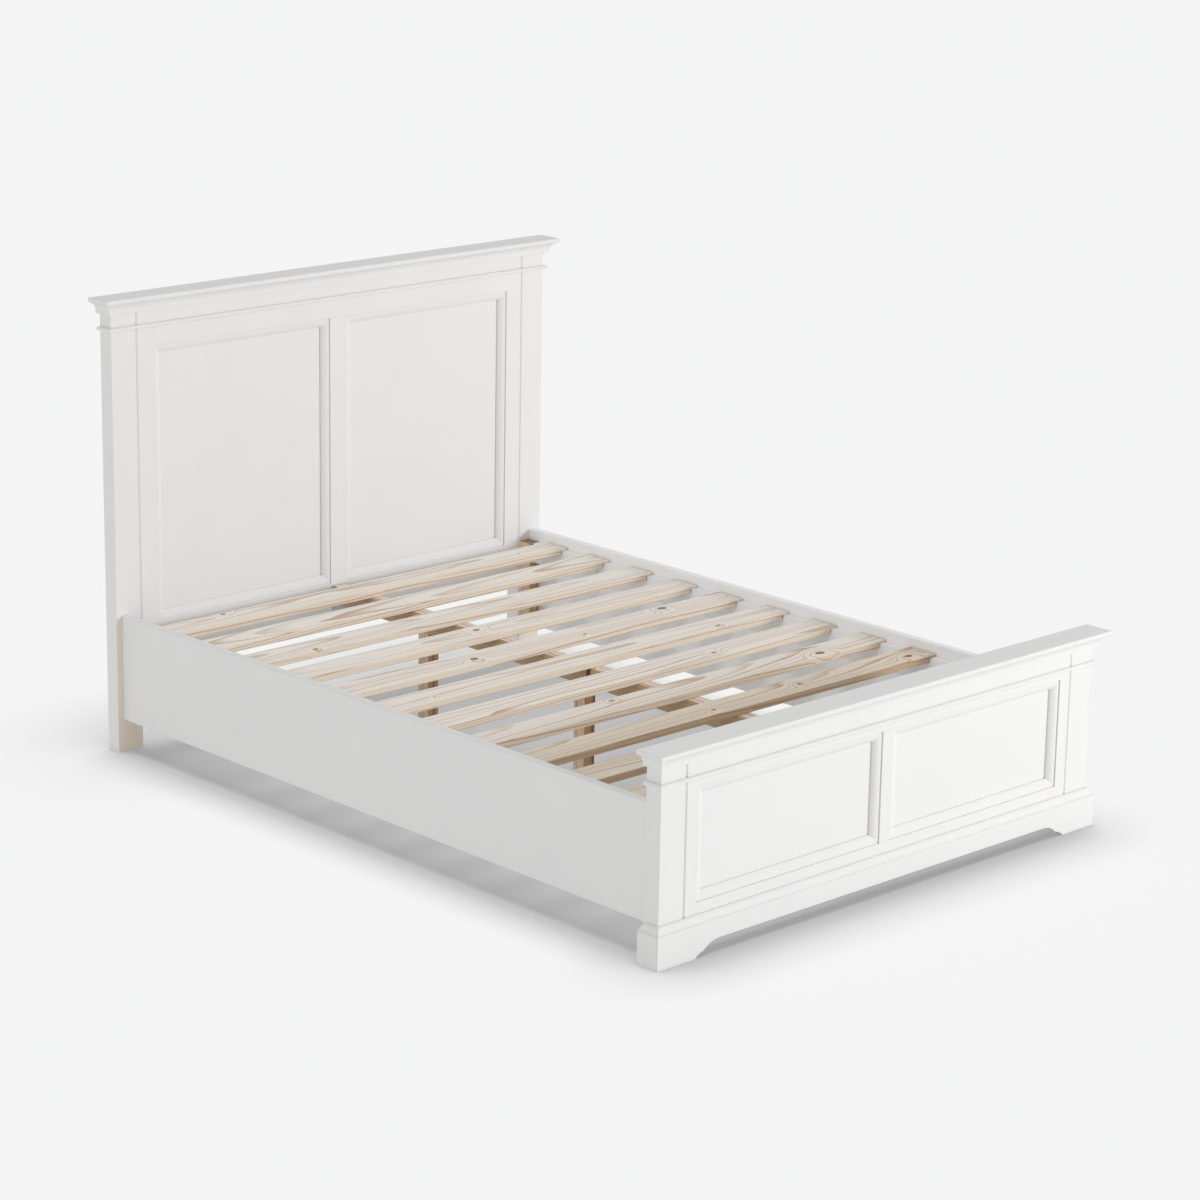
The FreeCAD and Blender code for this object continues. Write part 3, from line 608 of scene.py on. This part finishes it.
def part_painted_post(name):
    """The white lacquer, with pale wood in front of the leg and beside the side board."""
    material, tree = empty_material(name)
    place = add(tree, "ShaderNodeTexCoord").outputs["Object"]
    stretch = [POST_FIBRES_ACROSS, POST_FIBRES_ACROSS, POST_FIBRES_ALONG]
    fine = add(tree, "ShaderNodeMapping", {"Vector": place, "Scale": stretch})
    fibres = add(
        tree, "ShaderNodeTexNoise", {"Vector": fine.outputs[0], "Scale": 1.0, "Detail": 2.0}
    )
    wood = add(
        tree,
        "ShaderNodeMix",
        {0: fibres.outputs["Fac"], 6: linear(BARE_POST[0]), 7: linear(BARE_POST[1])},
        data_type="RGBA",
    ).outputs[2]
    colour = add(
        tree,
        "ShaderNodeMix",
        {0: bare_patch(tree, place), 6: paint_colour(tree, place), 7: wood},
        data_type="RGBA",
    ).outputs[2]
    film = add(
        tree,
        "ShaderNodeBsdfPrincipled",
        {
            "Base Color": colour,
            "Normal": paint_surface(tree, place, "Z"),
            "Roughness": POST_ROUGHNESS,
            "IOR": LACQUER_IOR,
        },
    )
    add(tree, "ShaderNodeOutputMaterial", {"Surface": film.outputs["BSDF"]})
    return material


part_painted = part_painted_post("satin_white_lacquer_bare_leg")
print("side boards end at", round(rail_high.z * 1000), "mm up")

# %% [markdown]
# ## Zinc on the fittings
# Bolts, screws and hangers are steel with a thin electroplated coat of zinc. It is bright grey
# with cloudy patches, neither a mirror nor matt. The threaded inserts are cast zinc alloy,
# duller and a little warmer. Both are metals, so the colour goes into the reflection. An even
# grey would look like plastic, so a noise lets the colour and the polish drift together.

# %% Make the two metals
FITTING_EDGE = 0.0004
# How much rougher than its middle value the dullest patch is, and how much smoother the best.
ROUGHER, SMOOTHER = 0.1, 0.08


def zinc(name, dull, bright, roughness, patch):
    """A grey metal whose colour and polish drift in patches of a given size in metres."""
    material, tree = empty_material(name)
    place = add(tree, "ShaderNodeTexCoord").outputs["Object"]
    patches = add(
        tree, "ShaderNodeTexNoise", {"Vector": place, "Scale": 1 / patch, "Detail": 4.0}
    ).outputs["Fac"]
    colour = add(
        tree, "ShaderNodeMix", {0: patches, 6: linear(dull), 7: linear(bright)}, data_type="RGBA"
    )
    polish = add(
        tree,
        "ShaderNodeMapRange",
        {"Value": patches, "To Min": roughness + ROUGHER, "To Max": roughness - SMOOTHER},
    )
    edge = add(tree, "ShaderNodeBevel", {"Radius": FITTING_EDGE}, samples=4)
    surface = add(
        tree,
        "ShaderNodeBsdfPrincipled",
        {
            "Base Color": colour.outputs[2],
            "Metallic": 1.0,
            "Roughness": polish.outputs[0],
            "Normal": edge.outputs["Normal"],
        },
    )
    add(tree, "ShaderNodeOutputMaterial", {"Surface": surface.outputs["BSDF"]})
    return material


plated_steel = zinc("zinc_plated_steel", "#A9ADB1", "#CDD1D3", roughness=0.34, patch=0.006)
cast_zinc = zinc("cast_zinc_alloy", "#98948C", "#B9B5AC", roughness=0.48, patch=0.003)
print("metals:", plated_steel.name, cast_zinc.name)

# %% [markdown]
# ## Every solid gets its finish
# The grain under the paint follows each board's length, so a table of words in the names picks
# the direction. Boards that run across the bed need no row in it, and the mouldings are painted
# as those are. The mesh of each solid stays as it is, and only its material slots are filled.

# %% Finish the solids
LENGTHWISE_GRAIN = {
    "post": "Z",
    "stile": "Z",
    "mullion": "Z",
    "panel": "Z",
    "side_rail": "Y",
    "ledger": "Y",
    "return": "Y",
}


def finish_for(name):
    """The material for a solid, found from the words in its name."""
    if name.startswith("head_post"):
        return part_painted
    if name.startswith("slat"):
        return pine_slats
    if name == "centre_beam":
        return pine_beam
    if name.startswith(("centre_leg", "corner_block")):
        return pine_upright
    if name == "post_inserts":
        return cast_zinc
    if name.startswith(("rail_bolts", "beam_hanger")):
        return plated_steel
    found = [axis for word, axis in LENGTHWISE_GRAIN.items() if word in name]
    return paint[found[0] if found and "moulding" not in name else "X"]


for name, piece in nodes.items():
    piece.data.materials.clear()
    piece.data.materials.append(finish_for(name))
print("finished:", len(nodes), "solids")

# %% [markdown]
# ## The head of a screw
# A short countersunk screw holds each slat tongue down to its ledger, a row of them holds each
# ledger to its side board, and two hold each beam hanger. Only the heads show. They are all
# the same, so Geometry Nodes make the head once, as a cone whose wide end is up, and cut the
# cross recess into it with two bars.

# %% Cut the screw head
SCREW_RADIUS = 0.0034
SCREW_DEPTH = 0.0026
# Shares of the head's radius: the shank below it, and the length and width of the cross bars.
SHANK_SHARE = 0.5
CROSS_LENGTH_SHARE = 1.25
CROSS_WIDTH_SHARE = 0.26
SCREW_SIDES = 20


def screw_head(tree, radius, depth):
    """One countersunk head that faces up, with a cross recess in its top."""
    shank, long_side, short_side = (
        add(tree, "ShaderNodeMath", {0: radius, 1: share}, operation="MULTIPLY").outputs[0]
        for share in (SHANK_SHARE, CROSS_LENGTH_SHARE, CROSS_WIDTH_SHARE)
    )
    cone = add(
        tree,
        "GeometryNodeMeshCone",
        {"Vertices": SCREW_SIDES, "Radius Top": radius, "Radius Bottom": shank, "Depth": depth},
    )
    sunk = add(
        tree, "ShaderNodeVectorMath", {0: (0.0, 0.0, -1.0), "Scale": depth}, operation="SCALE"
    )
    head = add(
        tree,
        "GeometryNodeTransform",
        {"Geometry": cone.outputs["Mesh"], "Translation": sunk.outputs[0]},
    )
    recessed = add(
        tree, "GeometryNodeMeshBoolean", {"Mesh 1": head.outputs["Geometry"]}, solver="EXACT"
    )
    for width, length in ((long_side, short_side), (short_side, long_side)):
        size = add(tree, "ShaderNodeCombineXYZ", {0: width, 1: length, 2: depth}).outputs[0]
        bar = add(tree, "GeometryNodeMeshCube", {"Size": size}).outputs["Mesh"]
        tree.links.new(bar, recessed.inputs["Mesh 2"])
    return recessed.outputs["Mesh"]


print("screw heads are", SCREW_RADIUS * 2000, "mm wide")

# %% [markdown]
# ## A head on every point
# Placing each head by hand would be slow to change. The tree takes a small cloud of points
# instead and sets a head on each. Each point carries the direction that its screw faces, and a
# seed turns every cross by a different angle, as a real driver leaves it.

# %% Grow the screws
SCREW_SEED = 7


def screw_tree():
    """A tree that puts one countersunk head on each point, facing along its attribute."""
    tree = bpy.data.node_groups.new("countersunk_screws", "GeometryNodeTree")
    face = tree.interface
    face.new_socket("Points", in_out="INPUT", socket_type="NodeSocketGeometry")
    for label, value in (("Head radius", SCREW_RADIUS), ("Head depth", SCREW_DEPTH)):
        socket = face.new_socket(label, in_out="INPUT", socket_type="NodeSocketFloat")
        socket.default_value = value
    seed = face.new_socket("Seed", in_out="INPUT", socket_type="NodeSocketInt")
    seed.default_value = SCREW_SEED
    face.new_socket("Finish", in_out="INPUT", socket_type="NodeSocketMaterial")
    face.new_socket("Screws", in_out="OUTPUT", socket_type="NodeSocketGeometry")
    given = add(tree, "NodeGroupInput").outputs
    facing = add(
        tree, "GeometryNodeInputNamedAttribute", {"Name": "facing"}, data_type="FLOAT_VECTOR"
    )
    aim = add(
        tree, "FunctionNodeAlignRotationToVector", {"Vector": facing.outputs[0]}, axis="Z"
    )
    spin = add(
        tree,
        "FunctionNodeRandomValue",
        {"Seed": given["Seed"], 3: math.pi},
        data_type="FLOAT",
    )
    about = add(tree, "ShaderNodeCombineXYZ", {2: spin.outputs[1]})
    turn = add(tree, "FunctionNodeEulerToRotation", {0: about.outputs[0]})
    aimed = add(
        tree,
        "FunctionNodeRotateRotation",
        {0: aim.outputs[0], 1: turn.outputs[0]},
        rotation_space="LOCAL",
    )
    copies = add(
        tree,
        "GeometryNodeInstanceOnPoints",
        {
            "Points": given["Points"],
            "Instance": screw_head(tree, given["Head radius"], given["Head depth"]),
            "Rotation": aimed.outputs[0],
        },
    )
    real = add(
        tree, "GeometryNodeRealizeInstances", {"Geometry": copies.outputs["Instances"]}
    )
    coated = add(
        tree,
        "GeometryNodeSetMaterial",
        {"Geometry": real.outputs["Geometry"], "Material": given["Finish"]},
    )
    add(tree, "NodeGroupOutput", {"Screws": coated.outputs["Geometry"]})
    return tree


screws_tree = screw_tree()
print("inputs of the screw tree:", [i.name for i in screws_tree.interface.items_tree])

# %% [markdown]
# ## Setting the screws
# The points come from the solids' own boxes, so a screw stays on its slat when the bed's
# sizes change. The finished screws are turned into a plain mesh, and the modifier goes.

# %% Turn points into a mesh of screws
def screw_set(name, spots):
    """One mesh of screws from a list of (point, direction)."""
    cloud = bpy.data.meshes.new(f"{name}_points")
    cloud.from_pydata([point for point, _ in spots], [], [])
    facing = cloud.attributes.new("facing", "FLOAT_VECTOR", "POINT")
    for item, (_, direction) in zip(facing.data, spots):
        item.vector = direction
    holder = bpy.data.objects.new(f"{name}_maker", cloud)
    bpy.context.scene.collection.objects.link(holder)
    grow = holder.modifiers.new("screws", "NODES")
    grow.node_group = screws_tree
    sockets = {item.name: item.identifier for item in screws_tree.interface.items_tree}
    grow[sockets["Finish"]] = plated_steel
    grow[sockets["Head radius"]] = SCREW_RADIUS
    view = bpy.context.evaluated_depsgraph_get()
    mesh = bpy.data.meshes.new_from_object(holder.evaluated_get(view))
    mesh.name = name
    bpy.data.objects.remove(holder)
    piece = bpy.data.objects.new(name, mesh)
    bpy.context.scene.collection.objects.link(piece)
    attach(piece, "root") or piece
    print(name, len(spots), "screws", len(mesh.polygons), "faces")
    return piece


print("the screw tree has", len(screws_tree.nodes), "nodes")

# %% [markdown]
# Every slat has a screw in the middle of its width near each end. The ledgers' screws stand
# in a row about the ledger's middle, and each hanger has two side by side near its lower end.

# %% Set the screws
# How far a head stands out of the wood, and how far a slat's screw is from the slat's end.
SCREW_PROUD = 0.0003
TONGUE_INSET = 0.011
LEDGER_SCREWS = 5
LEDGER_STEP = 0.33
# The hangers' sheet, and their screws' distance from the middle and from the lower end.
HANGER_SHEET = 0.002
HANGER_ASIDE = 0.012
HANGER_RISE = 0.014
UP = Vector((0.0, 0.0, 1.0))

tongue_spots = []
for name in sorted(nodes):
    if name.startswith("slat"):
        low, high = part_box(name)
        for end in (low.x + TONGUE_INSET, high.x - TONGUE_INSET):
            spot = Vector((end, (low.y + high.y) / 2, high.z + SCREW_PROUD))
            tongue_spots.append((spot, UP))
slat_screws = screw_set("slat_screws", tongue_spots)

ledger_spots = []
for side, word in ((-1, "left"), (1, "right")):
    low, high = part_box(f"ledger_{word}")
    inner = min(abs(low.x), abs(high.x)) - SCREW_PROUD
    for step in range(LEDGER_SCREWS):
        from_middle = (step - (LEDGER_SCREWS - 1) / 2) * LEDGER_STEP
        along = (low.y + high.y) / 2 + from_middle
        spot = Vector((side * inner, along, (low.z + high.z) / 2))
        ledger_spots.append((spot, Vector((-side, 0.0, 0.0))))
ledger_screws = screw_set("ledger_screws", ledger_spots)

hanger_spots = []
for word, forward in (("foot", 1), ("head", -1)):
    low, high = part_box(f"beam_hanger_{word}")
    plate = low.y + HANGER_SHEET if forward > 0 else high.y - HANGER_SHEET
    for across in (-HANGER_ASIDE, HANGER_ASIDE):
        spot = Vector((across, plate + forward * SCREW_PROUD, low.z + HANGER_RISE))
        hanger_spots.append((spot, Vector((0.0, forward, 0.0))))
hanger_screws = screw_set("hanger_screws", hanger_spots)
added = [slat_screws, ledger_screws, hanger_screws]

# %% [markdown]
# ## The studio floor
# The bed stands on a wide, pale, matt floor. The camera sees the floor as one even white that
# runs out to the backdrop, with only the bed's own soft shadow on it. A floor that bright would
# throw too much light up at the bed, so rays that come from the bed meet a darker one. A Light
# Path node tells the two kinds of ray apart.

# %% Even out the shade under the bed
FLOOR = 60.0
WHITE_LIGHT = (1.0, 1.0, 1.0, 1.0)
# How much of its light the floor returns to the camera, and how much it glows.
FLOOR_SEEN = (0.138, 0.138, 0.138, 1.0)
FLOOR_GLOW = (0.177, 0.177, 0.179, 1.0)
# The same for the rays that come from the bed.
FLOOR_FELT = (0.075, 0.075, 0.075, 1.0)
FLOOR_FELT_GLOW = 0.33
# Under the bed it returns less and glows more: the real shade there is mostly replaced by an even
# painted shade, in which the slats' bands of light hardly show.
SHADE_SEEN = (0.060, 0.060, 0.060, 1.0)
SHADE_GLOW = (0.335, 0.335, 0.337, 1.0)
SHADE_HALF = (0.70, 1.04)
SHADE_BLUR = 0.06


def under_the_bed(tree):
    """1 on the floor under the bed and 0 round it, with a soft edge."""
    place = add(tree, "ShaderNodeTexCoord").outputs["Object"]
    axes = add(tree, "ShaderNodeSeparateXYZ", {0: place}).outputs
    spans = []
    for axis, half in zip("XY", SHADE_HALF):
        away = add(tree, "ShaderNodeMath", {0: axes[axis]}, operation="ABSOLUTE").outputs[0]
        spans.append(
            add(
                tree,
                "ShaderNodeMapRange",
                {"Value": away, "From Min": half + SHADE_BLUR, "From Max": half - SHADE_BLUR},
                interpolation_type="SMOOTHSTEP",
            ).outputs[0]
        )
    return add(tree, "ShaderNodeMath", {0: spans[0], 1: spans[1]}, operation="MULTIPLY").outputs[0]


print("floor:", FLOOR, "m wide")

# %% [markdown]
# The floor is one large square. Its material mixes what the camera sees with what the bed
# feels. The floor and the backdrop ask the same question of a ray, so a small function
# answers it for both.

# %% Lay the floor
def seen_directly(tree):
    """1 for a ray from the camera, or mirrored or let through on its way, else 0."""
    rays = add(tree, "ShaderNodeLightPath").outputs
    seen = rays["Is Camera Ray"]
    for kind in ("Is Glossy Ray", "Is Transmission Ray"):
        seen = add(tree, "ShaderNodeMath", {0: seen, 1: rays[kind]}, operation="MAXIMUM").outputs[0]
    return seen


def matt_floor():
    """A matt floor that looks paler to the camera than to the bed."""
    material, tree = empty_material("matt_studio_floor")
    under = under_the_bed(tree)
    taken, glowing = (
        add(tree, "ShaderNodeMix", {0: under, 6: lit, 7: shade}, data_type="RGBA").outputs[2]
        for lit, shade in ((FLOOR_SEEN, SHADE_SEEN), (FLOOR_GLOW, SHADE_GLOW))
    )
    sides = []
    for matt, glow, level in ((FLOOR_FELT, WHITE_LIGHT, FLOOR_FELT_GLOW), (taken, glowing, 1.0)):
        flat = add(tree, "ShaderNodeBsdfDiffuse", {"Color": matt}).outputs[0]
        lamp = add(tree, "ShaderNodeEmission", {"Color": glow, "Strength": level}).outputs[0]
        sides.append(add(tree, "ShaderNodeAddShader", {0: flat, 1: lamp}).outputs[0])
    felt, pale = sides
    both = add(tree, "ShaderNodeMixShader", {0: seen_directly(tree), 1: felt, 2: pale})
    add(tree, "ShaderNodeOutputMaterial", {"Surface": both.outputs[0]})
    return material


def studio_floor():
    """A large square at the height of the feet."""
    mesh = bpy.data.meshes.new("studio_floor")
    half = FLOOR / 2
    corners = [(-half, -half, 0.0), (half, -half, 0.0), (half, half, 0.0), (-half, half, 0.0)]
    mesh.from_pydata(corners, [], [(0, 1, 2, 3)])
    floor = bpy.data.objects.new("studio_floor", mesh)
    bpy.context.scene.collection.objects.link(floor)
    mesh.materials.append(matt_floor())
    return floor


floor = studio_floor()
print("floor material:", floor.data.materials[0].name)

# %% [markdown]
# ## The backdrop
# A studio has white walls far behind the object. Real walls would also throw shadows, so the
# world stands in for them: a large soft light from all sides, and an even white where a ray
# sees it directly.

# %% Hang the backdrop
BACKDROP = "#F5F5F5"
SKY_LEVEL = 0.58


def studio_world():
    """Even soft light, and the backdrop's own white where a ray sees it directly."""
    world = bpy.data.worlds.new("studio")
    world.use_nodes = True
    tree = world.node_tree
    tree.nodes.clear()
    soft, wall = (
        add(tree, "ShaderNodeBackground", {"Color": colour, "Strength": level}).outputs[0]
        for colour, level in ((WHITE_LIGHT, SKY_LEVEL), (linear(BACKDROP), 1.0))
    )
    both = add(tree, "ShaderNodeMixShader", {0: seen_directly(tree), 1: soft, 2: wall})
    add(tree, "ShaderNodeOutputWorld", {"Surface": both.outputs[0]})
    bpy.context.scene.world = world


studio_world()
print("sky level", SKY_LEVEL)

# %% [markdown]
# ## The lamps
# A low soft lamp stands to the front and right, like a window. It makes the footboard the
# brightest face, draws the right board's shadow across the slats' ends, and shows the steps of
# the mouldings. A weak one at the side lifts the faces that look left. One high on the left
# shines only on what is inside the bed, on the slats and the far board, and falls through the
# gaps in patches. The satin paint mirrors none of the three, so the mouldings keep an even
# white. A wide lamp overhead makes the soft shadow on the floor. Light linking keeps the first
# three off the floor and the last off the bed, so the floor stays even.

# %% Helpers for the lamps
LAMP_AIM = Vector((0.0, -0.6, 0.4))


def linked_lamp(name, kind, lit_pieces):
    """A lamp that shines on the listed pieces alone."""
    lamp = bpy.data.objects.new(name, bpy.data.lights.new(name, kind))
    bpy.context.scene.collection.objects.link(lamp)
    lit = bpy.data.collections.new(f"lit_by_{name}")
    for piece in lit_pieces:
        lit.objects.link(piece)
    lamp.light_linking.receiver_collection = lit
    return lamp


def aimed_panel(name, place, side, level, lit_pieces):
    """A square lamp aimed at the bed. Level 1 lights a facing board like paper in daylight."""
    lamp = linked_lamp(name, "AREA", lit_pieces)
    lamp.location = place
    line = Vector(place) - LAMP_AIM
    lamp.rotation_euler = line.to_track_quat("Z", "Y").to_euler()
    lamp.data.size = side
    lamp.data.energy = level * math.pi**2 * line.length_squared
    lamp.visible_glossy = False
    print(name, "is", round(line.length, 2), "m away")


print("lamps aim at a spot", round(LAMP_AIM.z, 2), "m up")

# %% [markdown]
# Places and sides are in metres. The overhead lamp is a sun, which lights the whole floor
# alike, and its wide angle makes the shadow's edge soft.

# %% Hang the lamps
INSIDE = ("slat", "ledger", "rail_right", "beam", "leg", "block")
OVERHEAD_LEVEL = 4.72
OVERHEAD_WIDTH = math.radians(44)
OVERHEAD_LEAN = math.radians(1.5)

whole_bed = [*nodes.values(), *added]
inside = [piece for name, piece in nodes.items() if any(word in name for word in INSIDE)] + added
aimed_panel("window_lamp", (4.65, -6.85, 2.22), side=1.6, level=0.455, lit_pieces=whole_bed)
aimed_panel("side_lamp", (-9.0, 1.0, 2.8), side=1.5, level=0.055, lit_pieces=whole_bed)
aimed_panel("high_lamp", (-9.3, -3.1, 8.4), side=1.2, level=0.15, lit_pieces=inside)
overhead = linked_lamp("overhead_lamp", "SUN", [floor])
overhead.data.energy = OVERHEAD_LEVEL * math.pi
overhead.data.angle = OVERHEAD_WIDTH
overhead.rotation_euler = (0.0, OVERHEAD_LEAN, 0.0)
print("the high lamp lights", len(inside), "of", len(whole_bed), "pieces")

# %% [markdown]
# ## The camera
# The photograph's camera was found from the bed's own corners: where it stood, which way it
# looked and how long its lens was. The same numbers set the camera here. Its three axes make
# the columns of its rotation.

# %% Place the camera
PHOTO_SIDE = 1200
FOCAL_PIXELS = 3496.9
EYE = Vector((-5.7030, -6.0162, 2.7926))
YAW, PITCH, ROLL = 0.761369, -0.271447, 0.017657
SENSOR_WIDTH = 36.0
NEAREST, FARTHEST = 0.1, 200.0


def photo_camera():
    """A camera that looks along yaw and pitch, in radians, and is rolled a little."""
    data = bpy.data.cameras.new("photo_camera")
    data.sensor_width = SENSOR_WIDTH
    data.lens = FOCAL_PIXELS / PHOTO_SIDE * SENSOR_WIDTH
    data.clip_start, data.clip_end = NEAREST, FARTHEST
    camera = bpy.data.objects.new("photo_camera", data)
    bpy.context.scene.collection.objects.link(camera)
    ahead = Vector(
        (
            math.sin(YAW) * math.cos(PITCH),
            math.cos(YAW) * math.cos(PITCH),
            math.sin(PITCH),
        )
    )
    level = Vector((math.cos(YAW), -math.sin(YAW), 0.0))
    over = level.cross(ahead)
    right = math.cos(ROLL) * level + math.sin(ROLL) * over
    top = math.cos(ROLL) * over - math.sin(ROLL) * level
    turned = Matrix((right, top, -ahead)).transposed()
    camera.matrix_world = Matrix.Translation(EYE) @ turned.to_4x4()
    bpy.context.scene.camera = camera
    return camera


camera = photo_camera()
bpy.context.scene.view_settings.view_transform = "Standard"
print("lens:", round(camera.data.lens, 1), "mm")
